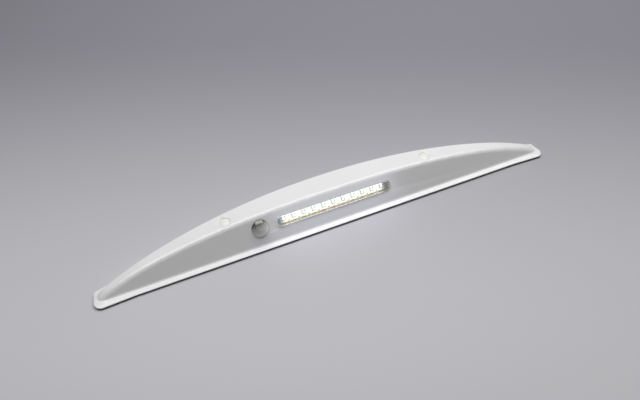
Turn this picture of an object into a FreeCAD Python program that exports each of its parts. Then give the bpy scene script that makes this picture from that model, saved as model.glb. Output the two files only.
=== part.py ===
import FreeCAD, Part
import math
import os

os.makedirs("parts", exist_ok=True)
V = FreeCAD.Vector
UP = V(0, 0, 1)

# Frame: X along the lamp, Y from its lower edge to its upper edge, Z away from the wall.
# The origin is on the wall, midway between the two fixing holes.

# Housing outline, seen from the front (mm)
FLANGE_HALF = 354.6
FLARE_L = 56.6
FLARE = 2.6
END_LEAN = 6.2
END_FLANGE = 6.6
END_BACK = 7.7
BACK_MARGIN = 4.5
FRONT_CORNER_RADIUS = 10.0
BACK_CORNER_RADIUS = 6.0

# Housing section
GASKET_T = 2.9
GASKET_INSET = 1.2
GASKET_W = 5.0
FLANGE_T = 1.8
FLANGE_BEVEL = 0.8
WALL = 2.5
RISE = 41.3
ARCH_POWER = 2.35
ARCH_ROUND = 0.665
ARCH_STEPS = 8
FACE_FOOT = 7.8
FACE_LEAN = 31.7
TOP_BACK = 67.2
NOSE_W = 11.5
BACK_DRAFT = 1.5
RIDGE_SHARE = 0.74
BACK_SHARE = 0.18
FOOT_ROUND = 5.0
FOOT_END = 4.5
CAVITY_END = 14.0

# Fixing pillars and their caps
PILLAR_R = 8.5
PILLAR_GAP = 6.5
PILLAR_SHARE = 0.43
BORE_R = 5.5
FIXING_HOLE_R = 2.5
SEAT_Z = 7.0
CAP_R = 7.5
CAP_T = 1.6
CAP_BEVEL = 0.5
DISH_R = 9.6
DISH_DEPTH = 0.7
SPIGOT_R = 4.6
SPIGOT_L = 4.0

# Ribs under the top face
RIB_T = 1.8
RIB_DEPTH = 4.0
RIB_GAP = 47.0
RIB_PITCH = 40.0
RIB_COUNT = 3

# Light window, measured on the front face (across, up the face, out of it)
WINDOW_L = 180.0
WINDOW_H = 15.5
WINDOW_SHARE = 0.569
WINDOW_PROUD = 3.5
WINDOW_ROUND = 3.3
WINDOW_RIM = 3.4
WINDOW_RIM_T = 2.0
SEAL_T = 0.8
SEAL_SIDES = 24
SEAL_ROOM = 0.6

# Light row
REFLECTOR_T = 4.0
REFLECTOR_EDGE = 2.0
REFLECTOR_TAPER = 2.5
BOARD_T = 1.6
BOARD_EDGE = 1.25
BOARD_END = 2.0
LED_COUNT = 11
LED_END = 13.0
LED_SIZE = 5.0
LED_T = 1.6
PHOSPHOR_R = 1.9
PHOSPHOR_SIDES = 8
PHOSPHOR_DEPTH = 0.5
RESISTOR_SIZE = V(3.2, 1.6, 0.6)
RESISTOR_V = 4.0

# Motion sensor
PIR_GAP = 23.7
PIR_LOWER = 0.6
DOME_R = 12.4
DOME_RISE = 6.6
DOME_WALL = 1.0
DOME_STEPS = 3
DOME_SIDES = 12
DOME_RIM_R = 14.6
DOME_RIM_T = 1.7
SPACER_BORE = 11.4
SPACER_SIDES = 8
PIR_BOARD_L = 29.0
PIR_BOARD_H = 28.0
CAN_R = 4.6
CAN_T = 4.2
CAN_RIM_R = 5.1
CAN_RIM_T = 0.5
FILTER_L = 4.0
FILTER_H = 3.0
FILTER_T = 0.4
CHIP_SIZE = V(3.9, 8.6, 1.5)
CHIP_AT = 3.5
TRANSISTOR_SIZE = V(2.5, 4.5, 1.5)
TRANSISTOR_AT = 9.0
CAPACITOR_SIZE = V(2.0, 1.3, 1.2)
CAPACITOR_AT = 7.4
TERMINAL_SIZE = V(10.2, 8.0, 9.0)
TERMINAL_AT = -5.6
TERMINAL_PITCH = 5.0
TERMINAL_SCREW_R = 1.5
TERMINAL_SCREW_T = 1.6
DRIVE_SLOT = 0.6
WIRE_ENTRY = 3.0
WIRE_ENTRY_DEPTH = 5.0
WIRE_ENTRY_ROOF = 1.0

# Carrier tray and its screws
CARRIER_EDGE = 2.0
CARRIER_END = 4.0
CARRIER_FLOOR = 2.5
CARRIER_RIM = 1.4
PAD_MARGIN = 2.0
PAD_LEDGE = 2.5
TAB_COUNT = 4
TAB_W = 12.0
TAB_T = 2.5
TAB_GAP = 2.8
TAB_UP = 5.4
TAB_INSET = 11.0
TAB_BEYOND = 5.0
BOSS_SHARE = 0.58
BOSS_R = 3.5
SCREW_R = 1.45
SCREW_HEAD_R = 2.8
SCREW_HEAD_T = 2.0
SCREW_HEAD_SIDES = 6
SCREW_L = 10.0
SCREW_SIDES = 8

# Short wires between the boards
BOARD_GAP = 2.2
WIRE_T = 1.0
WIRE_V = 7.5
WIRE_SPAN = 6.0
WIRE_RISE = 3.0

# Fits
FIT = 0.3
SCREW_FIT = 0.05

# Overcut of the cutting shapes, and how near a point has to lie to count as on a face
OVERCUT = 1.0
NEAR = 0.001
NEAR_LEANING = 0.02

# Levels and angles that follow from the sizes above
FLANGE_TOP = GASKET_T + FLANGE_T
TOP_Z = GASKET_T + RISE
LEAN = math.radians(FACE_LEAN)
DRAFT = math.tan(math.radians(BACK_DRAFT))
FACE_H = (TOP_Z - FLANGE_TOP) / math.cos(LEAN)
SEAL_W = -WALL - SEAL_T
RIM_W = SEAL_W - WINDOW_RIM_T
BOARD_W = RIM_W - REFLECTOR_T
FLOOR_W = BOARD_W - BOARD_T
TRAY_W = FLOOR_W - CARRIER_FLOOR
DOME_RIM_W = SEAL_W - DOME_RIM_T

# Outline of the body: the back edge is an arc between the two noses
ARCH_HALF = FLANGE_HALF - END_FLANGE
NOSE_BACK = FACE_FOOT + NOSE_W
BACK_SAG = TOP_BACK - NOSE_BACK
BACK_RADIUS = (ARCH_HALF ** 2 + BACK_SAG ** 2) / (2 * BACK_SAG)
RIDGE_ROUND = RIDGE_SHARE * NOSE_W
BACK_ROUND = BACK_SHARE * NOSE_W

# Places along the lamp: window in the middle, sensor beside it, pillars beyond the carrier
WINDOW_V = WINDOW_SHARE * FACE_H
PIR_X = -WINDOW_L / 2 - PIR_GAP
PIR_V = WINDOW_V - PIR_LOWER
PIR_LEFT = PIR_X - PIR_BOARD_L / 2
PIR_RIGHT = PIR_X + PIR_BOARD_L / 2
BOARD_LEFT = PIR_RIGHT + BOARD_GAP
BOARD_RIGHT = WINDOW_L / 2 + BOARD_END
BOARD_H = WINDOW_H + 2 * BOARD_EDGE
LED_PITCH = (WINDOW_L - 2 * LED_END) / (LED_COUNT - 1)
CARRIER_LEFT = PIR_LEFT - TAB_GAP - TAB_W
CARRIER_RIGHT = BOARD_RIGHT + CARRIER_END
CARRIER_H = BOARD_H + 2 * CARRIER_EDGE
TAB_FIRST = CARRIER_LEFT + TAB_W / 2
TAB_PITCH = (WINDOW_L / 2 - TAB_INSET - TAB_FIRST) / (TAB_COUNT - 1)
HOLE_X = PILLAR_GAP + PILLAR_R - CARRIER_LEFT
RIB_FIRST = HOLE_X + RIB_GAP


def back_sag(x):
    """How far the upper edge has dropped at a distance from the middle."""
    return BACK_RADIUS - math.sqrt(BACK_RADIUS ** 2 - x ** 2)


def arch_z(x):
    """Height of the top face over the wall at a distance from the middle."""
    reach = min(abs(x) / ARCH_HALF, 1.0)
    return GASKET_T + RISE * (1 - reach ** ARCH_POWER) ** ARCH_ROUND


# Places across the lamp, counted from its straight front edge
PILLAR_RIDGE = FACE_FOOT + (arch_z(HOLE_X) - FLANGE_TOP) * math.tan(LEAN)
PILLAR_BACK = TOP_BACK - back_sag(HOLE_X)
FRONT_EDGE = -PILLAR_RIDGE - PILLAR_SHARE * (PILLAR_BACK - PILLAR_RIDGE)
FACE_Y = FRONT_EDGE + FACE_FOOT
BACK_CENTRE = FRONT_EDGE + TOP_BACK - BACK_RADIUS
BACK_FLANGE = FRONT_EDGE + TOP_BACK + BACK_MARGIN
FACE_PLACE = FreeCAD.Placement(V(0, FACE_Y, FLANGE_TOP), FreeCAD.Rotation(V(1, 0, 0), 90 - FACE_LEAN))

# Screw tabs behind the carrier tray
TAB_Z = FLANGE_TOP + (WINDOW_V + TAB_UP) * math.cos(LEAN) + TRAY_W * math.sin(LEAN)
TAB_TOP = TAB_Z + TAB_T
TAB_MIDDLE = TAB_Z + TAB_T / 2 - FLANGE_TOP
TAB_ROOT = FACE_Y + TAB_MIDDLE * math.tan(LEAN) - (FLOOR_W + TRAY_W) / 2 / math.cos(LEAN)
TAB_BACK = FRONT_EDGE + TOP_BACK - back_sag(TAB_FIRST) - WALL
BOSS_Y = TAB_ROOT + BOSS_SHARE * (TAB_BACK - TAB_ROOT)
TAB_END = BOSS_Y + TAB_BEYOND


def on_face(shape):
    """Turns a shape drawn across, up and out of the front face into the lamp's frame."""
    shape.Placement = FACE_PLACE.multiply(shape.Placement)
    return shape


def box(x0, x1, y0, y1, z0, z1):
    return Part.makeBox(x1 - x0, y1 - y0, z1 - z0, V(x0, y0, z0))


def block(size, x, y, z):
    """Box of a given size standing on z, centred on x and y."""
    return Part.makeBox(size.x, size.y, size.z, V(x - size.x / 2, y - size.y / 2, z))


def rod(radius, x, y, z0, z1):
    return Part.makeCylinder(radius, z1 - z0, V(x, y, z0), UP)


def stadium_wire(length, height, y, z):
    """Outline with straight long sides and half-round ends."""
    r = height / 2
    c = length / 2 - r
    left, right = V(-c - r, y, z), V(c + r, y, z)
    a, b = V(-c, y - r, z), V(c, y - r, z)
    d, e = V(c, y + r, z), V(-c, y + r, z)
    edges = [Part.makeLine(a, b), Part.Arc(b, right, d).toShape()]
    edges += [Part.makeLine(d, e), Part.Arc(e, left, a).toShape()]
    return Part.Wire(edges)


def stadium(length, height, y, z0, z1):
    face = Part.Face(stadium_wire(length, height, y, z0))
    return face.extrude(V(0, 0, z1 - z0))


def ring_points(sides, radius, x, y, z):
    """Corners of a regular outline, the first one repeated at the end."""
    turns = [2 * math.pi * k / sides for k in range(sides + 1)]
    return [V(x + radius * math.cos(t), y + radius * math.sin(t), z) for t in turns]


def prism(sides, radius, x, y, z0, z1):
    base = Part.Face(Part.makePolygon(ring_points(sides, radius, x, y, z0)))
    return base.extrude(V(0, 0, z1 - z0))


def faceted(rings):
    """Solid with flat facets between rings of points."""
    faces = [Part.Face(Part.makePolygon(ring)) for ring in (rings[0], rings[-1])]
    for low, high in zip(rings, rings[1:]):
        for k in range(len(low) - 1):
            corners = [low[k], low[k + 1], high[k + 1], high[k], low[k]]
            faces.append(Part.Face(Part.makePolygon(corners)))
    return Part.Solid(Part.Shell(faces))


def lathe(points, x, y, z):
    """Turned piece from (radius, height) points, standing at x, y, z."""
    wire = Part.makePolygon([V(r, 0, h) for r, h in points + points[:1]])
    shape = Part.Face(wire).revolve(V(0, 0, 0), UP, 360)
    shape.translate(V(x, y, z))
    return shape


def edges_where(shape, test):
    """Edges whose two ends and middle all pass the test."""
    found = []
    for edge in shape.Edges:
        first, last = edge.ParameterRange
        points = [edge.valueAt(first + (last - first) * k) for k in (0.02, 0.5, 0.98)]
        if all(test(p) for p in points):
            found.append(edge)
    return found


def arch_block(drop):
    """Solid under the arched top face, lowered by a wall thickness for the inside."""
    turns = [math.pi / 2 * k / ARCH_STEPS for k in range(-ARCH_STEPS, ARCH_STEPS + 1)]
    places = [ARCH_HALF * math.sin(turn) for turn in turns]
    points = [V(x, FRONT_EDGE, arch_z(x) - drop) for x in places]
    curve = Part.BSplineCurve()
    curve.interpolate(points)
    base = Part.makeLine(points[-1], points[0])
    face = Part.Face(Part.Wire([curve.toShape(), base]))
    return face.extrude(V(0, BACK_FLANGE - FRONT_EDGE, 0))


def behind_face(inset):
    """Space behind the leaning front face."""
    depth = BACK_FLANGE - FRONT_EDGE
    return on_face(box(-FLANGE_HALF, FLANGE_HALF, -depth, depth, -2 * depth, -inset))


def inside_back(inset):
    """Space below the back wall, a wide cone for its draft."""
    top = BACK_RADIUS - inset
    return Part.makeCone(top + RISE * DRAFT, top, RISE, V(0, BACK_CENTRE, GASKET_T), UP)


def on_front(point):
    return abs(FACE_PLACE.inverse().multVec(point).z) < NEAR_LEANING


def on_back(point):
    radius = point.distanceToPoint(V(0, BACK_CENTRE, point.z))
    return abs(radius - BACK_RADIUS - (TOP_Z - point.z) * DRAFT) < NEAR_LEANING


def above_base(point):
    return point.z > GASKET_T + NEAR


def body():
    """Outer form: arched top, leaning face and drafted back with their rounded edges."""
    shape = arch_block(0).common(behind_face(0)).common(inside_back(0))
    ridge = edges_where(shape, lambda p: on_front(p) and above_base(p))
    shape = shape.makeFillet(RIDGE_ROUND, ridge)
    back = edges_where(shape, lambda p: on_back(p) and above_base(p))
    return shape.makeFillet(BACK_ROUND, back)


def cavity():
    """Hollow that is open towards the wall."""
    end = ARCH_HALF - CAVITY_END
    shape = arch_block(WALL).common(behind_face(WALL)).common(inside_back(WALL))
    return shape.common(box(-end, end, FRONT_EDGE, BACK_FLANGE, GASKET_T - WALL, TOP_Z))


def flange():
    """Thin plate on the wall: front edge that flares at its ends, leaning ends and an arched back."""
    corner = V(FLANGE_HALF - END_LEAN, FRONT_EDGE + NOSE_BACK + END_BACK, GASKET_T)
    front = V(FLANGE_HALF, FRONT_EDGE - FLARE, GASKET_T)
    bend = V(FLANGE_HALF - FLARE_L, FRONT_EDGE, GASKET_T)
    left = [V(-p.x, p.y, p.z) for p in (corner, front, bend)]
    lines = Part.makePolygon(left + [bend, front, corner])
    arc = Part.Arc(corner, V(0, BACK_FLANGE, GASKET_T), left[0]).toShape()
    shape = Part.Face(Part.Wire(lines.Edges + [arc])).extrude(V(0, 0, FLANGE_T))

    def upright_at(place):
        return edges_where(shape, lambda p: abs(abs(p.x) - place.x) + abs(p.y - place.y) < NEAR)

    front_edges = upright_at(front)
    shape = shape.makeFillet(FRONT_CORNER_RADIUS, front_edges)
    return shape.makeFillet(BACK_CORNER_RADIUS, upright_at(corner))


def flange_with_body():
    """Body on its flange, with a soft foot along the front that runs out round the noses."""
    base = flange()
    outline = edges_where(base, lambda p: abs(p.z - FLANGE_TOP) < NEAR)
    base = base.makeChamfer(FLANGE_BEVEL, outline)
    form = body()
    crisp = base.fuse(form).removeSplitter()

    def on_foot(p):
        return abs(p.z - FLANGE_TOP) < NEAR and form.distToShape(Part.Vertex(p))[0] < NEAR

    soft = crisp.makeFillet(FOOT_ROUND, edges_where(crisp, on_foot))
    depth = FACE_FOOT + FOOT_END
    front = box(-FLANGE_HALF, FLANGE_HALF, -depth, 0, -depth, depth)
    front.Placement = FreeCAD.Placement(V(0, FACE_Y + FOOT_END, FLANGE_TOP), FreeCAD.Rotation(V(1, 0, 0), 45))
    return crisp.fuse(soft.common(front)).removeSplitter()


def cap_place(side):
    """Seat of a screw cap, square to the sloping top face."""
    x = side * HOLE_X
    slope = arch_z(x + 0.5) - arch_z(x - 0.5)
    turn = FreeCAD.Rotation(V(0, 1, 0), -math.degrees(math.atan(slope)))
    return FreeCAD.Placement(V(x, 0, arch_z(x)), turn)


def cap_recess(side):
    """Dish round the cap and the flat seat under it."""
    low = -DISH_DEPTH - CAP_T
    seat = CAP_R + FIT / 2
    profile = [(0, low), (seat, low), (seat, -DISH_DEPTH), (DISH_R, 0), (DISH_R, OVERCUT), (0, OVERCUT)]
    shape = lathe(profile, 0, 0, 0)
    shape.Placement = cap_place(side)
    return shape


def screw_cap(side):
    """Flat round cap with a bevelled edge and a spigot under it."""
    low = -DISH_DEPTH - CAP_T
    profile = [(0, low), (CAP_R, low), (CAP_R, -DISH_DEPTH - CAP_BEVEL), (CAP_R - CAP_BEVEL, -DISH_DEPTH)]
    disc = lathe(profile + [(0, -DISH_DEPTH)], 0, 0, 0)
    shape = disc.fuse(prism(SCREW_SIDES, SPIGOT_R, 0, 0, low - SPIGOT_L, low))
    shape.Placement = cap_place(side)
    return shape


def tab_positions():
    return [TAB_FIRST + TAB_PITCH * k for k in range(TAB_COUNT)]


def inner_posts(outer):
    """Fixing pillars and carrier bosses, kept under the top face."""
    posts = [rod(PILLAR_R, side * HOLE_X, 0, 0, TOP_Z) for side in (-1, 1)]
    posts += [prism(SCREW_SIDES, BOSS_R, x, BOSS_Y, TAB_TOP, TOP_Z) for x in tab_positions()]
    under = outer.fuse(box(-FLANGE_HALF, FLANGE_HALF, -PILLAR_R, PILLAR_R, 0, FLANGE_TOP))
    return [post.common(under) for post in posts]


def ribs(hollow):
    """Stiffening ribs across the empty ends of the hollow."""
    plates = []
    for k in range(RIB_COUNT):
        for side in (-1, 1):
            x = side * (RIB_FIRST + RIB_PITCH * k)
            low = arch_z(x) - WALL - RIB_DEPTH
            plate = box(x - RIB_T / 2, x + RIB_T / 2, FRONT_EDGE, BACK_FLANGE, low, TOP_Z)
            plates.append(plate.common(hollow))
    return plates


def housing():
    outer = flange_with_body()
    hollow = cavity()
    shape = outer.cut(hollow)
    shape = shape.fuse(inner_posts(outer) + ribs(hollow))
    cuts = []
    for side in (-1, 1):
        cuts.append(rod(FIXING_HOLE_R, side * HOLE_X, 0, -OVERCUT, TOP_Z))
        cuts.append(rod(BORE_R, side * HOLE_X, 0, SEAT_Z, TOP_Z + OVERCUT))
        cuts.append(cap_recess(side))
    for x in tab_positions():
        cuts.append(prism(SCREW_SIDES, SCREW_R + SCREW_FIT, x, BOSS_Y, TAB_Z, TAB_Z + SCREW_L + FIT))
    slot = stadium(WINDOW_L + 2 * FIT, WINDOW_H + 2 * FIT, WINDOW_V, -WALL - OVERCUT, OVERCUT)
    cuts.append(on_face(slot))
    cuts.append(on_face(rod(DOME_R + FIT, PIR_X, PIR_V, -WALL - OVERCUT, OVERCUT)))
    return shape.cut(cuts).removeSplitter()


def wall_gasket():
    """Foam ring under the flange."""
    under = [face for face in flange().Faces if abs(face.CenterOfMass.z - GASKET_T) < NEAR]
    outline = Part.Face(under[0].OuterWire)
    outer = outline.makeOffset2D(-GASKET_INSET)
    ring = outer.cut(outline.makeOffset2D(-GASKET_INSET - GASKET_W))
    return ring.extrude(V(0, 0, -GASKET_T))


def light_window():
    """Clear rounded bar that stands through the front face, with a rim behind it."""
    bar = stadium(WINDOW_L, WINDOW_H, WINDOW_V, RIM_W, WINDOW_PROUD)
    lip = edges_where(bar, lambda p: abs(p.z - WINDOW_PROUD) < NEAR)
    bar = bar.makeFillet(WINDOW_ROUND, lip)
    grow = 2 * WINDOW_RIM
    rim = stadium(WINDOW_L + grow, WINDOW_H + grow, WINDOW_V, RIM_W, SEAL_W)
    return on_face(bar.fuse(rim).removeSplitter())


def window_seal():
    grow = 2 * WINDOW_RIM
    ring = stadium(WINDOW_L + grow, WINDOW_H + grow, WINDOW_V, SEAL_W, -WALL)
    hole = stadium(WINDOW_L + 2 * FIT, WINDOW_H + 2 * FIT, WINDOW_V, SEAL_W, -WALL)
    return on_face(ring.cut(hole))


def led_reflector():
    """Frame round the lights, opening towards the window."""
    edge = 2 * REFLECTOR_EDGE
    taper = 2 * REFLECTOR_TAPER
    frame = stadium(WINDOW_L + edge, WINDOW_H + edge, WINDOW_V, BOARD_W, RIM_W)
    floor = stadium_wire(WINDOW_L - taper, WINDOW_H - taper, WINDOW_V, BOARD_W)
    mouth = stadium_wire(WINDOW_L, WINDOW_H, WINDOW_V, RIM_W)
    return on_face(frame.cut(Part.makeLoft([floor, mouth], True, True)))


def led_board():
    half = BOARD_H / 2
    return on_face(box(BOARD_LEFT, BOARD_RIGHT, WINDOW_V - half, WINDOW_V + half, FLOOR_W, BOARD_W))


def led_positions():
    middle = (LED_COUNT - 1) / 2
    return [(k - middle) * LED_PITCH for k in range(LED_COUNT)]


def phosphor_fill(x):
    top = BOARD_W + LED_T
    return prism(PHOSPHOR_SIDES, PHOSPHOR_R, x, WINDOW_V, top - PHOSPHOR_DEPTH, top)


def led_bodies():
    size = V(LED_SIZE, LED_SIZE, LED_T)
    bodies = [block(size, x, WINDOW_V, BOARD_W).cut(phosphor_fill(x)) for x in led_positions()]
    return Part.makeCompound([on_face(shape) for shape in bodies])


def led_phosphors():
    return Part.makeCompound([on_face(phosphor_fill(x)) for x in led_positions()])


def led_resistors():
    places = [x + LED_PITCH / 2 for x in led_positions()[:-1]]
    chips = [block(RESISTOR_SIZE, x, WINDOW_V - RESISTOR_V, BOARD_W) for x in places]
    return Part.makeCompound([on_face(chip) for chip in chips])


def board_pocket(x0, x1, v, height):
    half = height / 2 + FIT / 2
    return box(x0 - FIT / 2, x1 + FIT / 2, v - half, v + half, FLOOR_W, FLOOR_W + CARRIER_RIM + OVERCUT)


def lamp_carrier():
    """Tray with a pocket for each board, an opening for the inlet and screw tabs behind it."""
    top = FLOOR_W + CARRIER_RIM
    half = CARRIER_H / 2
    tray = box(CARRIER_LEFT, CARRIER_RIGHT, WINDOW_V - half, WINDOW_V + half, TRAY_W, top)
    pad = V(PIR_BOARD_L + 2 * PAD_MARGIN, PIR_BOARD_H + 2 * PAD_MARGIN, top - TRAY_W)
    tray = tray.fuse(block(pad, PIR_X, PIR_V, TRAY_W))
    opening = V(PIR_BOARD_L - 2 * PAD_LEDGE, PIR_BOARD_H - 2 * PAD_LEDGE, CARRIER_FLOOR + 2 * OVERCUT)
    cuts = [board_pocket(BOARD_LEFT, BOARD_RIGHT, WINDOW_V, BOARD_H)]
    cuts.append(board_pocket(PIR_LEFT, PIR_RIGHT, PIR_V, PIR_BOARD_H))
    cuts.append(block(opening, PIR_X, PIR_V, TRAY_W - OVERCUT))
    tray = on_face(tray.cut(cuts))
    tabs = []
    holes = []
    for x in tab_positions():
        tabs.append(box(x - TAB_W / 2, x + TAB_W / 2, TAB_ROOT, TAB_END, TAB_Z, TAB_TOP))
        holes.append(prism(SCREW_SIDES, SCREW_R + FIT / 2, x, BOSS_Y, TAB_Z, TAB_TOP))
    return tray.fuse(tabs).cut(holes).removeSplitter()


def carrier_screws():
    """Hexagon-headed screws driven towards the top face through the tabs."""
    screws = []
    for x in tab_positions():
        head = prism(SCREW_HEAD_SIDES, SCREW_HEAD_R, x, BOSS_Y, TAB_Z - SCREW_HEAD_T, TAB_Z)
        shank = prism(SCREW_SIDES, SCREW_R, x, BOSS_Y, TAB_Z, TAB_Z + SCREW_L)
        screws.append(head.fuse(shank))
    return Part.makeCompound(screws)


def dome_points(radius, rise):
    """Points from the foot of the dome to its crown, on one round."""
    ball = (radius ** 2 + rise ** 2) / (2 * rise)
    turn = math.asin(radius / ball)
    steps = [turn * (1 - k / DOME_STEPS) for k in range(DOME_STEPS + 1)]
    return [(ball * math.sin(t), rise - ball + ball * math.cos(t)) for t in steps]


def pir_lens():
    """Dome, smooth outside and cut in flat lens facets inside, with a rim behind the front face."""
    rim = [(0, DOME_RIM_W), (DOME_RIM_R, DOME_RIM_W), (DOME_RIM_R, SEAL_W), (DOME_R, SEAL_W)]
    solid = lathe(rim + dome_points(DOME_R, DOME_RISE), PIR_X, PIR_V, 0)
    inner_r = DOME_R - DOME_WALL
    rings = [(inner_r, DOME_RIM_W)] + dome_points(inner_r, DOME_RISE - DOME_WALL)[:-1]
    facets = [ring_points(DOME_SIDES, r, PIR_X, PIR_V, z) for r, z in rings]
    return on_face(solid.cut(faceted(facets)))


def pir_seal():
    hole = prism(SEAL_SIDES, DOME_R + SEAL_ROOM, PIR_X, PIR_V, SEAL_W, -WALL)
    return on_face(prism(SEAL_SIDES, DOME_RIM_R, PIR_X, PIR_V, SEAL_W, -WALL).cut(hole))


def pir_spacer():
    """Eight-sided tube that holds the dome's rim off the sensor board."""
    hole = prism(SPACER_SIDES, SPACER_BORE, PIR_X, PIR_V, BOARD_W, DOME_RIM_W)
    return on_face(prism(SPACER_SIDES, DOME_RIM_R, PIR_X, PIR_V, BOARD_W, DOME_RIM_W).cut(hole))


def pir_board():
    return on_face(block(V(PIR_BOARD_L, PIR_BOARD_H, BOARD_T), PIR_X, PIR_V, FLOOR_W))


def filter_block():
    return block(V(FILTER_L, FILTER_H, FILTER_T), PIR_X, PIR_V, BOARD_W + CAN_T - FILTER_T)


def pir_sensor():
    rim = [(0, 0), (CAN_RIM_R, 0), (CAN_RIM_R, CAN_RIM_T)]
    can = [(CAN_R, CAN_RIM_T), (CAN_R, CAN_T), (0, CAN_T)]
    return on_face(lathe(rim + can, PIR_X, PIR_V, BOARD_W).cut(filter_block()))


def under_board(size, x):
    """Component on the back of the sensor board."""
    return block(size, PIR_X + x, PIR_V, FLOOR_W - size.z)


def pir_capacitors():
    parts = [block(CAPACITOR_SIZE, PIR_X, PIR_V + s * CAPACITOR_AT, BOARD_W) for s in (-1, 1)]
    return Part.makeCompound([on_face(part) for part in parts])


def terminal_places():
    return [PIR_X + TERMINAL_AT + s * TERMINAL_PITCH / 2 for s in (-1, 1)]


def terminal_block():
    """Two-way inlet with a square wire entry and a screw for each wire."""
    low = FLOOR_W - TERMINAL_SIZE.z
    roof = FLOOR_W - WIRE_ENTRY_ROOF
    front = PIR_V - TERMINAL_SIZE.y / 2
    half = WIRE_ENTRY / 2
    well = TERMINAL_SCREW_R + FIT / 2
    cuts = []
    for x in terminal_places():
        cuts.append(box(x - half, x + half, front, front + WIRE_ENTRY_DEPTH, roof - WIRE_ENTRY, roof))
        cuts.append(prism(SCREW_SIDES, well, x, PIR_V, low, low + TERMINAL_SCREW_T + FIT))
    return on_face(under_board(TERMINAL_SIZE, TERMINAL_AT).cut(cuts))


def terminal_screws():
    low = FLOOR_W - TERMINAL_SIZE.z + FIT
    slot = V(2 * TERMINAL_SCREW_R, DRIVE_SLOT, DRIVE_SLOT)
    screws = []
    for x in terminal_places():
        screw = prism(SCREW_SIDES, TERMINAL_SCREW_R, x, PIR_V, low, low + TERMINAL_SCREW_T)
        screws.append(on_face(screw.cut(block(slot, x, PIR_V, low))))
    return Part.makeCompound(screws)


def lead(side):
    """Insulated link bent like a staple from one board to the other."""
    middle = (PIR_RIGHT + BOARD_LEFT) / 2
    v = PIR_V + side * WIRE_V
    half = WIRE_SPAN / 2
    legs = WIRE_RISE - WIRE_T
    link = box(middle - half, middle + half, v - WIRE_T / 2, v + WIRE_T / 2, BOARD_W, BOARD_W + WIRE_RISE)
    gap = block(V(WIRE_SPAN - 2 * WIRE_T, WIRE_T, legs), middle, v, BOARD_W)
    return on_face(link.cut(gap))


PIECES = {
    "housing": housing(),
    "wall_gasket": wall_gasket(),
    "screw_cap_left": screw_cap(-1),
    "screw_cap_right": screw_cap(1),
    "light_window": light_window(),
    "window_seal": window_seal(),
    "led_reflector": led_reflector(),
    "led_board": led_board(),
    "led_bodies": led_bodies(),
    "led_phosphors": led_phosphors(),
    "led_resistors": led_resistors(),
    "lamp_carrier": lamp_carrier(),
    "carrier_screws": carrier_screws(),
    "pir_lens": pir_lens(),
    "pir_seal": pir_seal(),
    "pir_spacer": pir_spacer(),
    "pir_board": pir_board(),
    "pir_sensor": pir_sensor(),
    "pir_filter": on_face(filter_block()),
    "pir_chip": on_face(under_board(CHIP_SIZE, CHIP_AT)),
    "pir_transistor": on_face(under_board(TRANSISTOR_SIZE, TRANSISTOR_AT)),
    "pir_capacitors": pir_capacitors(),
    "terminal_block": terminal_block(),
    "terminal_screws": terminal_screws(),
    "lead_positive": lead(1),
    "lead_negative": lead(-1),
}

for name, shape in PIECES.items():
    shape.exportStep("parts/" + name + ".step")
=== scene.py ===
import math

import bmesh
import bpy
from bpy.props import FloatProperty, FloatVectorProperty, IntProperty, PointerProperty
from mathutils import Matrix, Vector


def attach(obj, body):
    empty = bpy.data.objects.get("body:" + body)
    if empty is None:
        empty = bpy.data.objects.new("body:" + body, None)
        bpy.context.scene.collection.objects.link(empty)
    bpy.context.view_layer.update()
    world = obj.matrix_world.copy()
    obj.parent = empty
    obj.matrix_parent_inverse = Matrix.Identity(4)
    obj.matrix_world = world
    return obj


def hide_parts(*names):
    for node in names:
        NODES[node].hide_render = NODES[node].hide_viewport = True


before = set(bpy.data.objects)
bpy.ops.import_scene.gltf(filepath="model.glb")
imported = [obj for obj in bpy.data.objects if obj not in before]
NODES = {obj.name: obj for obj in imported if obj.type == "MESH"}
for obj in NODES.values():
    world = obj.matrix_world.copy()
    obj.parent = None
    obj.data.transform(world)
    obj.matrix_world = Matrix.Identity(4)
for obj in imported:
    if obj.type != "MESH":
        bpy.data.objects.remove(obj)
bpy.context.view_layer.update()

bl_info = {
    "name": "Awning light",
    "version": (1, 0, 0),
    "blender": (4, 5, 0),
    "location": "View3D > Sidebar > Lamp",
    "description": "Dresses the awning light: moulded housing, lit window, sensor dome and inside",
    "category": "Object",
}

MM = 0.001
MM_PER_METRE = 1000

# Corners of a new piece, and of a CAD node's loose triangles, that lie closer than this are one corner.
MERGE_GAP = 0.001 * MM
JOIN_GAP = 0.002 * MM
# Weight of large faces in the normals that they share with small ones, where 50 treats all faces alike.
FLAT_WEIGHT = 80

# Sockets of a Mix node for colours, which go by number because its socket names repeat.
MIX_SHARE, MIX_FIRST, MIX_SECOND, MIX_RESULT = 0, 6, 7, 2
# Rings in one unit that a wave texture draws at a scale of 1.
WAVE_RINGS = 20 / (2 * math.pi)

# Steps of the curved shapes, fine enough for a smooth outline.
WINDOW_STEPS, WINDOW_ROUND_STEPS = 96, 10
DOME_STEPS, DOME_OUTSIDE_STEPS, DOME_INSIDE_STEPS = 72, 16, 14
CAP_STEPS, CAP_CROWN_STEPS = 64, 10
CAP_EDGE_TURNS = [math.radians(degrees) for degrees in (0, 15, 30, 45, 60, 75)]
# Upright part of a normal above which a CAD face belongs to a cap's flat top.
CAP_TOP_NORMAL = 0.9

# The board's painted glow starts to fade this far inside the row's ends, and is gone this far past them.
FADE_INSIDE, FADE_PAST = 4 * MM, 3 * MM
# The dome gets clear up the front face and a little to the left, between these shares of its radius, so that
# it shows painted shade at its top and painted light at its foot.
DOME_SHADE_WAY = Vector((-0.25, 0.97, 0))
DOME_SHADE_FROM, DOME_SHADE_TO = -0.45, 0.65

# The row's own light stands this far up from the window's middle and out of it, and is this high.
ROW_LIGHT_UP, ROW_LIGHT_OUT, ROW_LIGHT_HEIGHT = 5 * MM, 14 * MM, 12 * MM
SPILL_WAY = Vector((0, -1, -0.9))
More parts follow.
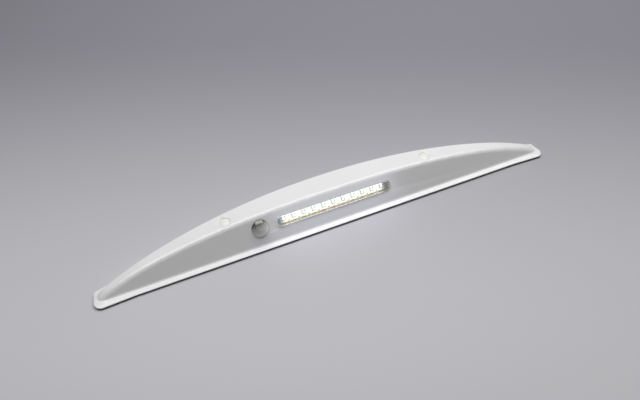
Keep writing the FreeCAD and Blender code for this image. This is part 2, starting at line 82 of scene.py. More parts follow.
# Half the floor's side, and where its tone starts and stops darkening from before to behind the lamp, as
# painted shade of the light falling off, in metres.
FLOOR_HALF = 4
FLOOR_SHADE_SPAN = (-0.3, 0.45)


def linear(code):
    """Linear colour of an sRGB hex value."""
    parts = [int(code[k:k + 2], 16) / 255 for k in (1, 3, 5)]
    return tuple(p / 12.92 if p <= 0.04045 else ((p + 0.055) / 1.055) ** 2.4 for p in parts)


def length(name, description, size_mm):
    """Setting for a length, shown in scene units."""
    return FloatProperty(name=name, description=description, default=size_mm * MM, unit="LENGTH", precision=5)


def angle(name, description, degrees):
    """Setting for an angle."""
    return FloatProperty(name=name, description=description, default=math.radians(degrees), subtype="ANGLE")


def colour(name, description, code):
    """Setting for a colour."""
    return FloatVectorProperty(name=name, description=description, default=linear(code), subtype="COLOR",
                               min=0, max=1)


def power(name, description, watts):
    """Setting for a light's power."""
    return FloatProperty(name=name, description=description, default=watts, min=0, unit="POWER", precision=4)


def share(name, description, part):
    """Setting for a part of a whole."""
    return FloatProperty(name=name, description=description, default=part, min=0, max=1, subtype="FACTOR")


class LampSizes(bpy.types.PropertyGroup):
    """Sizes that the frame doesn't give"""

    face_lean: angle("Face lean", "Angle of the front face from upright", 31.7)
    smooth_turn: angle("Smooth turn", "Edges that turn by less than this are shaded smooth", 32)
    window_rim: length("Window rim", "Width of the rim behind the front face", 3.4)
    window_rim_depth: length("Rim depth", "Thickness of the window's rim", 2.0)
    window_round: length("Window round", "Rounding of the window's front edge", 3.3)
    dome_wall: length("Dome wall", "Thickness of the sensor dome", 1.0)
    dome_rim: length("Dome rim", "Width of the dome's rim behind the front face", 2.2)
    dome_rim_depth: length("Dome rim depth", "Thickness of the dome's rim", 1.7)
    dome_rise: length("Dome rise", "Height of the dome over the front face", 6.6)
    cap_thickness: length("Cap thickness", "Thickness of a screw cap at its edge", 1.6)
    cap_crown: length("Cap crown", "Rise of a cap's middle over its edge", 1.1)
    cap_edge: length("Cap edge", "Rounding of a cap's edge", 0.9)
    cap_spigot: share("Cap spigot", "Width of a cap's spigot as a share of the cap's width", 0.6)
    led_count: IntProperty(name="Lights", description="Number of lights behind the window", default=11, min=2)
    led_frame: length("Package frame", "Width of the frame round a light's cup", 0.75)
    led_cup: length("Cup depth", "Depth of a light's cup", 0.5)
    led_crown: length("Fill crown", "Rise of the fill's middle over the cup", 0.25)
    led_lead: length("Package lead", "Width of the metal tabs beside a light", 2.2)
    led_tab: length("Tab thickness", "Thickness of the metal tabs beside a light", 0.2)
    led_tab_rise: share("Tab rise", "Height of the tabs as a share of the package's height", 0.55)


class LampColours(bpy.types.PropertyGroup):
    """Colours of the lamp's materials"""

    moulding: colour("Moulding", "White ABS of the housing", "#EEEEEE")
    moulding_patch: colour("Moulding patches", "Softly different white in the housing", "#E7E7E8")
    cap: colour("Caps", "Creamy white of the screw caps", "#F0F1EB")
    cap_patch: colour("Cap patches", "Second white of the screw caps", "#E8E9E2")
    glow: colour("Light", "Colour of the lit row", "#FFFDF6")
    phosphor: colour("Phosphor", "Yellow fill of a light", "#FFF0B0")
    package: colour("Light package", "Grey-green frame of a light", "#BDC1B3")


class StageSettings(bpy.types.PropertyGroup):
    """Camera, lights and floor"""

    view_turn: angle("View turn", "Camera's angle round the lamp", -24.489)
    view_rise: angle("View rise", "Camera's angle over the floor", 47.197)
    view_distance: length("View distance", "Camera's distance from its aim", 1050)
    aim: FloatVectorProperty(name="Aim", description="Point that the camera looks at",
                             default=(-0.0068, 0.01545, 0.0017), subtype="XYZ", unit="LENGTH")
    lens: FloatProperty(name="Lens", description="Focal length in millimetres", default=39.86, unit="CAMERA")
    key_power: power("Key power", "Large soft box above the lamp", 29.5)
    back_power: power("Back power", "Soft box behind the lamp on its right", 1.0)
    fill_power: power("Fill power", "Large soft box in front of the lamp", 0.1)
    glow_power: power("Glow power", "Light that the lit row throws on the front face", 0.0062)
    spill_power: power("Spill power", "Light that the lit row throws on the floor", 0.013)
    world_level: FloatProperty(name="World level", description="Even light from all sides",
                               default=0.045, min=0)
    # The far floor's grey is painted shade: the light's falloff behind the lamp drawn into the floor's
    # colour.
    floor_near: colour("Near floor", "Pale grey of the floor in front", "#C9C8CC")
    floor_far_shade: colour("Far floor", "Grey of the floor behind", "#88868E")


def add(tree, kind, inputs=None, **settings):
    """Adds a node with its settings, and sets or links its inputs."""
    made = tree.nodes.new(kind)
    for name, value in settings.items():
        setattr(made, name, value)
    for socket, value in (inputs or {}).items():
        if isinstance(value, bpy.types.NodeSocket):
            tree.links.new(value, made.inputs[socket])
        else:
            made.inputs[socket].default_value = value
    return made


def blank(name):
    """New material with an empty node tree."""
    material = bpy.data.materials.new(name)
    material.use_nodes = True
    material.node_tree.nodes.clear()
    return material, material.node_tree


def rgba(value):
    """Colour with full cover, as a socket takes it."""
    return (*value, 1.0)


def pair(first, second):
    """Linear colours of two sRGB hex values."""
    return linear(first), linear(second)


def surface(name, tones, *, patch_mm, rough, grain_mm, depth_mm, **shader):
    """Material of two close tones in soft patches, with uneven gloss and a fine grain."""
    material, tree = blank(name)
    place = add(tree, "ShaderNodeTexCoord").outputs["Object"]
    patches = add(tree, "ShaderNodeTexNoise",
                  {"Vector": place, "Scale": MM_PER_METRE / patch_mm, "Detail": 3.0})
    tone = add(tree, "ShaderNodeMix",
               {MIX_SHARE: patches.outputs["Fac"], MIX_FIRST: rgba(tones[0]), MIX_SECOND: rgba(tones[1])},
               data_type="RGBA")
    gloss = add(tree, "ShaderNodeMapRange",
                {"Value": patches.outputs["Fac"], "To Min": rough[0], "To Max": rough[1]})
    grain = add(tree, "ShaderNodeTexNoise",
                {"Vector": place, "Scale": MM_PER_METRE / grain_mm, "Detail": 2.0})
    bump = add(tree, "ShaderNodeBump",
               {"Height": grain.outputs["Fac"], "Distance": depth_mm * MM, "Strength": 0.6})
    inputs = {"Base Color": tone.outputs[MIX_RESULT], "Roughness": gloss.outputs["Result"],
              "Normal": bump.outputs["Normal"]}
    body = add(tree, "ShaderNodeBsdfPrincipled", {**inputs, **shader})
    add(tree, "ShaderNodeOutputMaterial", {"Surface": body.outputs["BSDF"]})
    return material


def moulded_abs():
    """White ABS from a fine-etched mould: a soft satin sheen with no sparkle."""
    c = bpy.context.scene.lamp_colours
    return surface("ABS_moulded_satin", (c.moulding, c.moulding_patch), patch_mm=60, rough=(0.22, 0.28),
                   grain_mm=1.2, depth_mm=0.006, IOR=1.53)


def moulded_caps():
    """Polypropylene caps, creamier than the housing and a little waxy."""
    c = bpy.context.scene.lamp_colours
    return surface("Polypropylene_moulded", (c.cap, c.cap_patch), patch_mm=9, rough=(0.32, 0.42),
                   grain_mm=0.9, depth_mm=0.01, IOR=1.49)


def foam():
    """Closed-cell foam cut from a sheet: dead black with open pores at the cut."""
    return surface("EPDM_foam_cut", pair("#141414", "#262524"), patch_mm=3, rough=(0.85, 0.95),
                   grain_mm=0.7, depth_mm=0.12)


def clear_polycarbonate():
    """Polished polycarbonate: clear, with the faint waves of a moulded bar and a faint painted glow for the
    row's light in it.
    """
    wave_mm = 14
    material, tree = blank("Polycarbonate_polished")
    place = add(tree, "ShaderNodeTexCoord").outputs["Object"]
    waves = add(tree, "ShaderNodeTexNoise", {"Vector": place, "Scale": MM_PER_METRE / wave_mm, "Detail": 1.0})
    bump = add(tree, "ShaderNodeBump",
               {"Height": waves.outputs["Fac"], "Distance": 0.02 * MM, "Strength": 0.5})
    gloss = add(tree, "ShaderNodeMapRange", {"Value": waves.outputs["Fac"], "To Min": 0.0, "To Max": 0.03})
    # Painted glow: the bar's weak emission stands for the row's light scattered inside it.
    body = add(tree, "ShaderNodeBsdfPrincipled",
               {"Base Color": rgba(linear("#F7FAFA")), "Roughness": gloss.outputs["Result"],
                "Normal": bump.outputs["Normal"], "Transmission Weight": 1.0, "IOR": 1.5,
                "Emission Color": rgba(linear("#DCE6FF")), "Emission Strength": 0.05})
    add(tree, "ShaderNodeOutputMaterial", {"Surface": body.outputs["BSDF"]})
    return material


def milky_polyethylene(centre, upward, reach):
    """Milky polyethylene: white below and nearly clear at the top, where the dark space behind it shows,
    which paints light low on the dome and shade at its top.
    """
    # The lens grooves are well under 1 mm apart. They are drawn as zones this wide, so that they show.
    zone_mm = 8.17
    cloud_mm = 6
    material, tree = blank("Polyethylene_moulded_milky")
    place = add(tree, "ShaderNodeTexCoord").outputs["Object"]
    moved = add(tree, "ShaderNodeMapping", {"Vector": place, "Location": -centre}).outputs["Vector"]
    height = add(tree, "ShaderNodeVectorMath", {0: moved, 1: upward}, operation="DOT_PRODUCT")
    # Painted shade and light: the share of clear plastic grows towards the top, so the top shows dark and the
    # foot pale.
    clear = add(tree, "ShaderNodeMapRange",
                {"Value": height.outputs["Value"], "From Min": DOME_SHADE_FROM * reach,
                 "From Max": DOME_SHADE_TO * reach, "To Min": 0.0, "To Max": 0.92})
    zones = add(tree, "ShaderNodeTexWave",
                {"Vector": moved, "Scale": MM_PER_METRE / zone_mm / WAVE_RINGS, "Distortion": 0.3},
                wave_type="RINGS", rings_direction="SPHERICAL")
    cloud = add(tree, "ShaderNodeTexNoise",
                {"Vector": place, "Scale": MM_PER_METRE / cloud_mm, "Detail": 3.0})
    first, second = pair("#F5F5F0", "#E5E5DE")
    tone = add(tree, "ShaderNodeMix",
               {MIX_SHARE: cloud.outputs["Fac"], MIX_FIRST: rgba(first), MIX_SECOND: rgba(second)},
               data_type="RGBA")
    gloss = add(tree, "ShaderNodeMapRange", {"Value": cloud.outputs["Fac"], "To Min": 0.12, "To Max": 0.2})
    bump = add(tree, "ShaderNodeBump",
               {"Height": zones.outputs["Fac"], "Distance": 0.007 * MM, "Strength": 0.5})
    body = add(tree, "ShaderNodeBsdfPrincipled",
               {"Base Color": tone.outputs[MIX_RESULT], "Roughness": gloss.outputs["Result"],
                "Normal": bump.outputs["Normal"], "Transmission Weight": clear.outputs["Result"], "IOR": 1.5,
                "Coat Weight": 0.2, "Coat IOR": 1.8, "Coat Roughness": 0.16})
    add(tree, "ShaderNodeOutputMaterial", {"Surface": body.outputs["BSDF"]})
    return material


def silicone():
    """Moulded silicone: dark grey and dull."""
    return surface("Silicone_moulded", pair("#3A3A3A", "#464646"), patch_mm=5, rough=(0.6, 0.75),
                   grain_mm=0.8, depth_mm=0.02)


def metallised():
    """Plastic metallised in vacuum: bright, warm in colour as a painted reflection of the lit row's yellow
    light, with the ripple of its moulding.
    """
    return surface("Plastic_metallised", pair("#EDE6CE", "#E2CB92"), patch_mm=12, rough=(0.1, 0.22),
                   grain_mm=3, depth_mm=0.03, Metallic=0.75)


def board_painted_glow(middle, reach):
    """White solder mask with a painted glow of the row's light, bright close in front of the row and fading
    at the row's ends.
    """
    material = surface("Solder_mask_white", pair("#F2F3EE", "#E6E8E0"), patch_mm=4, rough=(0.3, 0.45),
                       grain_mm=0.8, depth_mm=0.02)
    tree = material.node_tree
    place = add(tree, "ShaderNodeTexCoord").outputs["Object"]
    along = add(tree, "ShaderNodeSeparateXYZ", {"Vector": place}).outputs["X"]
    past = add(tree, "ShaderNodeMath", {0: along, 1: middle}, operation="SUBTRACT")
    off = add(tree, "ShaderNodeMath", {0: past.outputs["Value"]}, operation="ABSOLUTE")
    # Painted light: the board's own emission stands for the row's light falling on it.
    level = add(tree, "ShaderNodeMapRange",
                {"Value": off.outputs["Value"], "From Min": reach - FADE_INSIDE,
                 "From Max": reach + FADE_PAST, "To Min": 0.95, "To Max": 0.0})
    body = next(n for n in tree.nodes if n.type == "BSDF_PRINCIPLED")
    body.inputs["Emission Color"].default_value = rgba(bpy.context.scene.lamp_colours.glow)
    tree.links.new(level.outputs["Result"], body.inputs["Emission Strength"])
    return material


def glazed_chips():
    """Thick-film resistors under glaze: grey, made pale by a painted glow that stands for the light of the
    row beside them.
    """
    emission = {"Emission Color": rgba(bpy.context.scene.lamp_colours.glow), "Emission Strength": 0.55}
    return surface("Resistor_glazed", pair("#8E9084", "#7A7C72"), patch_mm=1.0, rough=(0.3, 0.4),
                   grain_mm=0.4, depth_mm=0.01, **emission)


def package_plastic():
    """Moulded polyphthalamide frame of a light, grey-green beside the glow."""
    tones = (bpy.context.scene.lamp_colours.package, linear("#ABB0A2"))
    return surface("Polyphthalamide_moulded", tones, patch_mm=2, rough=(0.4, 0.55),
                   grain_mm=0.5, depth_mm=0.01)


def silver_leads():
    """Silver-plated leads: bright with a fine stamped grain."""
    return surface("Copper_silver_plated", pair("#C9C9C4", "#A9A99F"), patch_mm=1.5, rough=(0.2, 0.35),
                   grain_mm=0.4, depth_mm=0.01, Metallic=1.0)


def phosphor():
    """Silicone filled with phosphor: yellow when dark, near white when lit."""
    c = bpy.context.scene.lamp_colours
    emission = {"Emission Color": rgba(c.glow), "Emission Strength": 1.6}
    return surface("Silicone_phosphor_fill", (c.phosphor, linear("#FFE48C")), patch_mm=1.5, rough=(0.3, 0.4),
                   grain_mm=0.5, depth_mm=0.01, **emission)


def black_epoxy():
    """Transfer-moulded epoxy: black-grey and finely gritty."""
    return surface("Epoxy_moulded_black", pair("#1B1B1C", "#29292A"), patch_mm=1.5, rough=(0.5, 0.65),
                   grain_mm=0.4, depth_mm=0.015)


def carrier_abs():
    """Grey-white ABS of the inner tray, coarser than the housing."""
    return surface("ABS_moulded_coarse", pair("#D3D3CF", "#C6C6C2"), patch_mm=18, rough=(0.45, 0.6),
                   grain_mm=1.0, depth_mm=0.03)


def zinc_steel():
    """Zinc-plated steel: bluish bright with cloudy plating."""
    return surface("Steel_zinc_plated", pair("#BFC3C8", "#9FA3A6"), patch_mm=2, rough=(0.22, 0.4),
                   grain_mm=0.5, depth_mm=0.012, Metallic=1.0)


def green_mask():
    """Green solder mask over glass cloth: the weave prints through, drawn 0.9 mm wide so that it shows."""
    return surface("Solder_mask_green", pair("#14532B", "#1C6B38"), patch_mm=3, rough=(0.25, 0.4),
                   grain_mm=0.9, depth_mm=0.02)


def nickel_can():
    """Drawn steel can, nickel plated: warm bright metal."""
    return surface("Steel_nickel_plated", pair("#C4C0B4", "#A9A599"), patch_mm=3, rough=(0.2, 0.32),
                   grain_mm=0.6, depth_mm=0.01, Metallic=1.0)


def silicon_filter():
    """Polished silicon: dark, mirror-like and slightly violet."""
    return surface("Silicon_polished", pair("#17141B", "#221D2A"), patch_mm=2, rough=(0.05, 0.12),
                   grain_mm=0.6, depth_mm=0.002, IOR=2.4)


def fired_ceramic():
    """Fired ceramic chips: tan and dull."""
    return surface("Ceramic_fired", pair("#9B7B52", "#87683F"), patch_mm=0.8, rough=(0.5, 0.7),
                   grain_mm=0.3, depth_mm=0.01)


def terminal_polyamide():
    """Moulded polyamide: green and slightly waxy."""
    return surface("Polyamide_moulded_green", pair("#1F7A3E", "#186632"), patch_mm=4, rough=(0.35, 0.5),
                   grain_mm=0.8, depth_mm=0.015)


def pvc(name, first, second):
    """Extruded PVC insulation: smooth, with faint streaks."""
    return surface(name, pair(first, second), patch_mm=2, rough=(0.35, 0.45), grain_mm=0.6, depth_mm=0.006)


def face_axes():
    """Axes of the front face: across it, up it and out of it."""
    lean = bpy.context.scene.lamp_sizes.face_lean
    return Matrix.Rotation(math.pi / 2 - lean, 4, "X")


def extent(name, axes):
    """Lowest and highest corner of a CAD node along other axes."""
    back = axes.inverted()
    points = [back @ v.co for v in NODES[name].data.vertices]
    low = Vector([min(p[k] for p in points) for k in range(3)])
    high = Vector([max(p[k] for p in points) for k in range(3)])
    return low, high


def finished(name, bm, materials, replaced):
    """Makes a mesh object of a bmesh, smooth except at sharp edges, in place of CAD nodes."""
    mesh = bpy.data.meshes.new(name)
    bm.to_mesh(mesh)
    bm.free()
    for material in materials:
        mesh.materials.append(material)
    mesh.shade_smooth()
    mesh.set_sharp_from_angle(angle=bpy.context.scene.lamp_sizes.smooth_turn)
    piece = bpy.data.objects.new(name, mesh)
    bpy.context.scene.collection.objects.link(piece)
    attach(piece, "root")
    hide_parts(*replaced)
    return piece


def dressed_copy(name, material):
    """Copy of a CAD node with its triangles joined, so that its rounds are shaded smooth."""
    bm = bmesh.new()
    bm.from_mesh(NODES[name].data)
    bmesh.ops.remove_doubles(bm, verts=bm.verts, dist=JOIN_GAP)
    piece = finished(name + "_finished", bm, [material], [name])
    weigh = piece.modifiers.new("Flat faces first", "WEIGHTED_NORMAL")
    weigh.keep_sharp = True
    weigh.weight = FLAT_WEIGHT


def paint(material, *names):
    """Gives CAD nodes their material."""
    for name in names:
        mesh = NODES[name].data
        mesh.materials.clear()
        mesh.materials.append(material)


def turned(points, steps):
    """Turned shape from (radius, height) points that start and end on the axis."""
    bm = bmesh.new()
    line = [bm.verts.new((r, 0, h)) for r, h in points]
    edges = [bm.edges.new(ends) for ends in zip(line, line[1:])]
    bmesh.ops.spin(bm, geom=line + edges, cent=(0, 0, 0), axis=(0, 0, 1), angle=2 * math.pi, steps=steps,
                   use_merge=True)
    bmesh.ops.remove_doubles(bm, verts=bm.verts, dist=MERGE_GAP)
    bmesh.ops.recalc_face_normals(bm, faces=bm.faces)
    return bm


def cap_arc(radius, rise, steps):
    """(radius, height) points of a round cap from its foot to its crown."""
    ball = (radius ** 2 + rise ** 2) / (2 * rise)
    turn = math.asin(min(1.0, radius / ball))
    turns = [turn * (1 - k / steps) for k in range(steps + 1)]
    return [(ball * math.sin(t), rise - ball + ball * math.cos(t)) for t in turns]


class LAMP_OT_housing(bpy.types.Operator):
    """Finish the moulded housing and the foam seal under it"""

    bl_idname = "lamp.housing"
    bl_label = "Housing and seal"

    def execute(self, context):
        dressed_copy("housing", moulded_abs())
        # Besides the foam's own black, the seal stands in for the shade under the flange's front edge, as a
        # dark line.
        dressed_copy("wall_gasket", foam())
        return {"FINISHED"}


class LAMP_OT_window(bpy.types.Operator):
    """Model the clear window bar with its rounded edge and its rim"""

    bl_idname = "lamp.window"
    bl_label = "Light window"

    def execute(self, context):
        sizes = context.scene.lamp_sizes
        axes = face_axes()
        low, high = extent("light_window", axes)
        radius = (high.y - low.y) / 2
        reach = (high.x - low.x) / 2 - radius
        bm = bmesh.new()
        bmesh.ops.create_circle(bm, cap_ends=True, segments=WINDOW_STEPS, radius=radius)
        for side in (-1, 1):
            half = [v for v in bm.verts if v.co.x * side > MERGE_GAP]
            bmesh.ops.translate(bm, verts=half, vec=(side * reach, 0, 0))
        base = bm.faces[:]
        rim = bmesh.ops.extrude_face_region(bm, geom=base, use_keep_orig=True)
        top = [f for f in rim["geom"] if isinstance(f, bmesh.types.BMFace)]
        bmesh.ops.translate(bm, verts=top[0].verts, vec=(0, 0, sizes.window_rim_depth))
        bmesh.ops.inset_region(bm, faces=top, thickness=sizes.window_rim, use_even_offset=True)
        bar = bmesh.ops.extrude_face_region(bm, geom=top)
        bmesh.ops.delete(bm, geom=top, context="FACES_ONLY")
        lid = [f for f in bar["geom"] if isinstance(f, bmesh.types.BMFace)]
        bmesh.ops.translate(bm, verts=lid[0].verts, vec=(0, 0, high.z - low.z - sizes.window_rim_depth))
        bmesh.ops.bevel(bm, geom=lid[0].edges[:], offset=sizes.window_round, offset_type="OFFSET",
                        segments=WINDOW_ROUND_STEPS, profile=0.5, affect="EDGES", material=-1,
                        clamp_overlap=True)
        bmesh.ops.remove_doubles(bm, verts=bm.verts, dist=MERGE_GAP)
        bmesh.ops.recalc_face_normals(bm, faces=bm.faces)
        middle = Vector(((low.x + high.x) / 2, (low.y + high.y) / 2, low.z))
        bmesh.ops.transform(bm, matrix=axes @ Matrix.Translation(middle), verts=bm.verts)
        finished("window_bar", bm, [clear_polycarbonate()], ["light_window"])
        return {"FINISHED"}


class LAMP_OT_lights(bpy.types.Operator):
    """Model the row of light packages with their leads and fills, and finish the board and reflector"""

    bl_idname = "lamp.lights"
    bl_label = "Light row"

    def execute(self, context):
        sizes = context.scene.lamp_sizes
        axes = face_axes()
        low, high = extent("led_bodies", axes)
        side = high.y - low.y
        height = high.z - low.z
        pitch = (high.x - low.x - side) / (sizes.led_count - 1)
        packages = bmesh.new()
        fills = bmesh.new()
        for k in range(sizes.led_count):
            place = Matrix.Translation((low.x + side / 2 + k * pitch, (low.y + high.y) / 2, low.z))
            self.package(packages, axes @ place, side, height, sizes)
            self.fill(fills, axes @ place, side, height, sizes)
        frames = [package_plastic(), silver_leads()]
        finished("light_packages", packages, frames, ["led_bodies"])
        finished("light_fills", fills, [phosphor()], ["led_phosphors"])
        paint(board_painted_glow((low.x + high.x) / 2, (high.x - low.x) / 2), "led_board")
        paint(glazed_chips(), "led_resistors")
        dressed_copy("led_reflector", metallised())
        return {"FINISHED"}

    def package(self, bm, place, side, height, sizes):
        """One frame with a cup, and a metal tab on two sides."""
        body = bmesh.ops.create_cube(bm, size=1.0)["verts"]
        bmesh.ops.scale(bm, vec=(side - 2 * sizes.led_tab, side, height), verts=body)
        bmesh.ops.translate(bm, vec=(0, 0, height / 2), verts=body)
        faces = {f for v in body for f in v.link_faces}
        top = max(faces, key=lambda f: f.calc_center_median().z)
        inner = bmesh.ops.inset_region(bm, faces=[top], thickness=sizes.led_frame)
        bmesh.ops.translate(bm, vec=(0, 0, -sizes.led_cup), verts=top.verts)
        verts = {v for f in faces for v in f.verts} | {v for f in inner["faces"] for v in f.verts}
        rise = height * sizes.led_tab_rise
        for turn in (-1, 1):
            tab = bmesh.ops.create_cube(bm, size=1.0)["verts"]
            bmesh.ops.scale(bm, vec=(sizes.led_tab, sizes.led_lead, rise), verts=tab)
            bmesh.ops.translate(bm, vec=(turn * (side - sizes.led_tab) / 2, 0, rise / 2), verts=tab)
            for f in {f for v in tab for f in v.link_faces}:
                f.material_index = 1
            verts |= set(tab)
        bmesh.ops.transform(bm, matrix=place, verts=list(verts))

    def fill(self, bm, place, side, height, sizes):
        """Crowned fill that closes the cup."""
        radius = side / 2 - sizes.led_frame
        made = bmesh.ops.create_uvsphere(bm, u_segments=20, v_segments=8, radius=radius)["verts"]
        flat = (sizes.led_crown + sizes.led_cup) / 2 / radius
        bmesh.ops.scale(bm, vec=(1, 1, flat), verts=made)
        bmesh.ops.translate(bm, vec=(0, 0, height + (sizes.led_crown - sizes.led_cup) / 2), verts=made)
        bmesh.ops.transform(bm, matrix=place, verts=made)


class LAMP_OT_dome(bpy.types.Operator):
    """Model the thin sensor dome, and finish what is behind it"""

    bl_idname = "lamp.dome"
    bl_label = "Sensor dome"

    def execute(self, context):
        sizes = context.scene.lamp_sizes
        axes = face_axes()
        low, high = extent("pir_lens", axes)
        rim = (high.x - low.x) / 2
        radius = rim - sizes.dome_rim
        face = high.z - sizes.dome_rise
        foot = low.z - face
        inner = radius - sizes.dome_wall
        outside = cap_arc(radius, sizes.dome_rise, DOME_OUTSIDE_STEPS)
        inside = cap_arc(inner, sizes.dome_rise - sizes.dome_wall, DOME_INSIDE_STEPS)[::-1]
        step = foot + sizes.dome_rim_depth
        points = inside + [(inner, foot), (rim, foot), (rim, step), (radius, step)] + outside
        bm = turned(points, DOME_STEPS)
        middle = Vector(((low.x + high.x) / 2, (low.y + high.y) / 2, face))
        bmesh.ops.transform(bm, matrix=axes @ Matrix.Translation(middle), verts=bm.verts)
        milky = milky_polyethylene(axes @ middle, axes.to_3x3() @ DOME_SHADE_WAY, radius)
        finished("sensor_dome", bm, [milky], ["pir_lens"])
        paint(silicone(), "pir_seal", "window_seal")
        paint(carrier_abs(), "pir_spacer")
        dressed_copy("pir_sensor", nickel_can())
        paint(silicon_filter(), "pir_filter")
        return {"FINISHED"}


class LAMP_OT_caps(bpy.types.Operator):
    """Model the two crowned screw caps in their seats"""

    bl_idname = "lamp.caps"
    bl_label = "Screw caps"

    def execute(self, context):
        sizes = context.scene.lamp_sizes
        material = moulded_caps()
        for name in ("screw_cap_left", "screw_cap_right"):
            tops = (p for p in NODES[name].data.polygons if p.normal.z > CAP_TOP_NORMAL)
            upright = sum((p.normal * p.area for p in tops), Vector())
            axes = Matrix.Rotation(math.atan2(upright.x, upright.z), 4, "Y")
            low, high = extent(name, axes)
            radius = (high.x - low.x) / 2
            edge = sizes.cap_edge
            lip = [(radius - edge + edge * math.cos(t), edge * math.sin(t) - edge) for t in CAP_EDGE_TURNS]
            crown = cap_arc(radius - edge, sizes.cap_crown, CAP_CROWN_STEPS)
            spigot = radius * sizes.cap_spigot
            under = -sizes.cap_thickness
            deep = low.z - high.z
            points = [(0, deep), (spigot, deep), (spigot, under), (radius, under)] + lip + crown
            bm = turned(points, CAP_STEPS)
            middle = Vector(((low.x + high.x) / 2, (low.y + high.y) / 2, high.z))
            bmesh.ops.transform(bm, matrix=axes @ Matrix.Translation(middle), verts=bm.verts)
            finished(name + "_crowned", bm, [material], [name])
        return {"FINISHED"}


class LAMP_OT_inside(bpy.types.Operator):
    """Finish the tray, boards, inlet and screws inside the housing"""

    bl_idname = "lamp.inside"
    bl_label = "Inside"

    def execute(self, context):
        paint(carrier_abs(), "lamp_carrier")
        paint(zinc_steel(), "carrier_screws", "terminal_screws")
        paint(green_mask(), "pir_board")
        paint(black_epoxy(), "pir_chip", "pir_transistor")
        paint(fired_ceramic(), "pir_capacitors")
        paint(terminal_polyamide(), "terminal_block")
        paint(pvc("PVC_extruded_red", "#9C1F18", "#8A1712"), "lead_positive")
        paint(pvc("PVC_extruded_black", "#1A1A1A", "#242424"), "lead_negative")
        return {"FINISHED"}


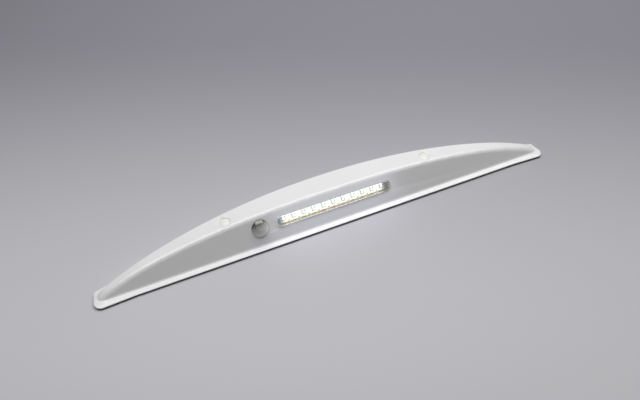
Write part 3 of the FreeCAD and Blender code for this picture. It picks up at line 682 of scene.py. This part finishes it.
class LAMP_OT_stage(bpy.types.Operator):
    """Set the camera, the lights and the pale floor"""

    bl_idname = "lamp.stage"
    bl_label = "Stage"

    def execute(self, context):
        stage = context.scene.lamp_stage
        context.scene.view_settings.view_transform = "Standard"
        self.camera(context.scene, stage)
        self.floor(context.scene, stage)
        self.world(context.scene, stage)
        self.soft_box("key", place=(0.28, 0.3, 1.45), size=(2.3, 1.0), watts=stage.key_power)
        self.soft_box("back", place=(0.9, 1.2, 1.0), aim=(0, 0, 0), size=(1.6, 0.8), watts=stage.back_power)
        self.soft_box("fill", place=(-0.7, -1.5, 1.0), aim=(0, 0, 0), size=(1.6, 1.2), watts=stage.fill_power)
        self.row_light(stage)
        return {"FINISHED"}

    def camera(self, scene, stage):
        """Camera at the photograph's viewing angle."""
        data = bpy.data.cameras.new("camera")
        data.lens = stage.lens
        data.sensor_width = 36
        data.sensor_fit = "HORIZONTAL"
        eye = bpy.data.objects.new("camera", data)
        flat = math.cos(stage.view_rise)
        back = Vector((math.sin(stage.view_turn) * flat, -math.cos(stage.view_turn) * flat,
                       math.sin(stage.view_rise)))
        eye.location = Vector(stage.aim) + back * stage.view_distance
        eye.rotation_euler = (-back).to_track_quat("-Z", "Y").to_euler()
        scene.collection.objects.link(eye)
        scene.camera = eye

    def floor(self, scene, stage):
        """Flat floor that the lamp lies on."""
        bm = bmesh.new()
        bmesh.ops.create_grid(bm, x_segments=1, y_segments=1, size=FLOOR_HALF)
        mesh = bpy.data.meshes.new("floor")
        bm.to_mesh(mesh)
        bm.free()
        floor = bpy.data.objects.new("floor", mesh)
        scene.collection.objects.link(floor)
        mesh.materials.append(self.paper(stage))

    def paper(self, stage):
        """Matt paper sweep: pale in front and greyer behind, the grey being painted shade of the light
        falling off, with a faint tooth.
        """
        tooth_mm = 1.5
        material, tree = blank("Paper_matt")
        place = add(tree, "ShaderNodeTexCoord").outputs["Object"]
        facing = add(tree, "ShaderNodeMapping", {"Vector": place, "Rotation": (0, 0, -stage.view_turn)})
        parts = add(tree, "ShaderNodeSeparateXYZ", {"Vector": facing.outputs["Vector"]})
        span = add(tree, "ShaderNodeMapRange",
                   {"Value": parts.outputs["Y"], "From Min": FLOOR_SHADE_SPAN[0], "From Max": FLOOR_SHADE_SPAN[1]},
                   interpolation_type="SMOOTHSTEP")
        tone = add(tree, "ShaderNodeMix",
                   {MIX_SHARE: span.outputs["Result"], MIX_FIRST: rgba(stage.floor_near),
                    MIX_SECOND: rgba(stage.floor_far_shade)}, data_type="RGBA")
        tooth = add(tree, "ShaderNodeTexNoise",
                    {"Vector": place, "Scale": MM_PER_METRE / tooth_mm, "Detail": 2.0})
        bump = add(tree, "ShaderNodeBump",
                   {"Height": tooth.outputs["Fac"], "Distance": 0.03 * MM, "Strength": 0.3})
        body = add(tree, "ShaderNodeBsdfPrincipled",
                   {"Base Color": tone.outputs[MIX_RESULT], "Roughness": 0.85,
                    "Normal": bump.outputs["Normal"]})
        add(tree, "ShaderNodeOutputMaterial", {"Surface": body.outputs["BSDF"]})
        return material

    def world(self, scene, stage):
        """Even white light from all sides."""
        world = bpy.data.worlds.new("studio")
        world.use_nodes = True
        tree = world.node_tree
        tree.nodes.clear()
        sky = add(tree, "ShaderNodeBackground", {"Color": (1, 1, 1, 1), "Strength": stage.world_level})
        add(tree, "ShaderNodeOutputWorld", {"Surface": sky.outputs["Background"]})
        scene.world = world

    def soft_box(self, name, place, size, watts, aim=None, tint=(1, 1, 1)):
        """Rectangular light that faces its aim, or straight down."""
        data = bpy.data.lights.new(name, "AREA")
        data.shape = "RECTANGLE"
        data.size, data.size_y = size
        data.energy = watts
        data.color = tint
        lamp = bpy.data.objects.new(name, data)
        lamp.location = place
        if aim is not None:
            lamp.rotation_euler = (Vector(aim) - Vector(place)).to_track_quat("-Z", "Y").to_euler()
        bpy.context.scene.collection.objects.link(lamp)
        return lamp

    def row_light(self, stage):
        """Light of the lit row on the front face round the window and on the floor before it."""
        axes = face_axes()
        low, high = extent("light_window", axes)
        middle = Vector(((low.x + high.x) / 2, (low.y + high.y) / 2, high.z))
        near = axes @ (middle + Vector((0, ROW_LIGHT_UP, ROW_LIGHT_OUT)))
        size = (high.x - low.x, ROW_LIGHT_HEIGHT)
        tint = linear("#ECEDFF")
        glow = self.soft_box("row_glow", near, size, stage.glow_power, tint=tint)
        glow.rotation_euler = axes.to_euler()
        spill = self.soft_box("row_spill", near, size, stage.spill_power, aim=near + SPILL_WAY, tint=tint)
        for lamp in (glow, spill):
            lamp.visible_camera = False
            lamp.visible_glossy = False
            lamp.visible_transmission = False


class LAMP_PT_panel(bpy.types.Panel):
    """Lists the lamp's pieces and its stage"""

    bl_label = "Awning light"
    bl_space_type = "VIEW_3D"
    bl_region_type = "UI"
    bl_category = "Lamp"

    def draw(self, context):
        for operator in OPERATORS:
            self.layout.operator(operator.bl_idname)
        for group in (context.scene.lamp_sizes, context.scene.lamp_colours, context.scene.lamp_stage):
            column = self.layout.column(align=True)
            for name in group.bl_rna.properties.keys():
                if name not in ("rna_type", "name"):
                    column.prop(group, name)


GROUPS = (LampSizes, LampColours, StageSettings)
OPERATORS = (LAMP_OT_housing, LAMP_OT_window, LAMP_OT_lights, LAMP_OT_dome, LAMP_OT_caps, LAMP_OT_inside,
             LAMP_OT_stage)


def register():
    for cls in GROUPS + OPERATORS + (LAMP_PT_panel,):
        bpy.utils.register_class(cls)
    bpy.types.Scene.lamp_sizes = PointerProperty(type=LampSizes)
    bpy.types.Scene.lamp_colours = PointerProperty(type=LampColours)
    bpy.types.Scene.lamp_stage = PointerProperty(type=StageSettings)


def unregister():
    del bpy.types.Scene.lamp_stage
    del bpy.types.Scene.lamp_colours
    del bpy.types.Scene.lamp_sizes
    for cls in reversed(GROUPS + OPERATORS + (LAMP_PT_panel,)):
        bpy.utils.unregister_class(cls)


def main():
    """Builds every piece and the stage."""
    register()
    bpy.ops.lamp.housing()
    bpy.ops.lamp.window()
    bpy.ops.lamp.lights()
    bpy.ops.lamp.dome()
    bpy.ops.lamp.caps()
    bpy.ops.lamp.inside()
    bpy.ops.lamp.stage()


if __name__ == "__main__":
    main()
